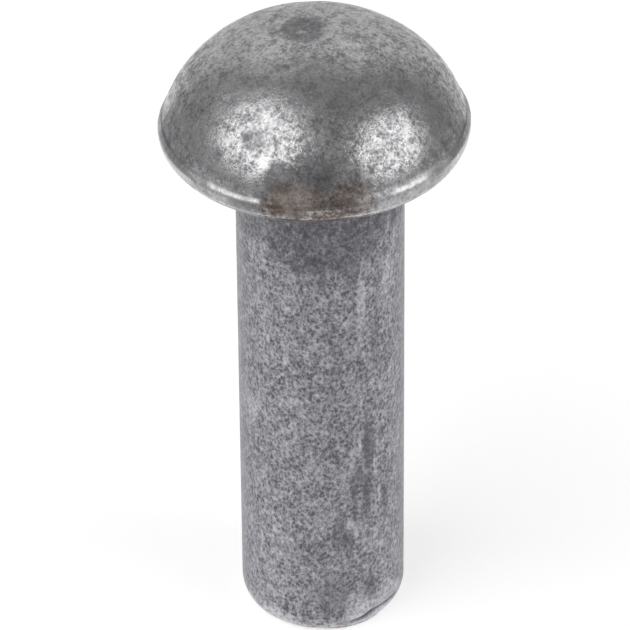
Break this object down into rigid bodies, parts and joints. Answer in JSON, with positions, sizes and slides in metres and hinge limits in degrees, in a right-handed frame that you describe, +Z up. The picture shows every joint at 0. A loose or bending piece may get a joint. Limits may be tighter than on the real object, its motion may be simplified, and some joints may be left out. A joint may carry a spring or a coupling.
{
  "type": "solid rivet",
  "caption": "Solid round-head steel rivet with a plain shank and a cropped end, cold headed in one piece.",
  "frame": {"origin": "centre of the shank's flat end face, on the shank's axis", "axes": "+Z up along the shank's axis, from the cropped end towards the head; the head leans slightly towards -X"},
  "size_m": [0.011, 0.011, 0.0247],
  "materials": {
    "steel": "plain carbon steel with a mottled dark phosphate and scale film, worn bright in specks, a trace of rust at the rim"
  },
  "bodies": {
    "root": {"rivet": "steel"}
  },
  "joints": []
}
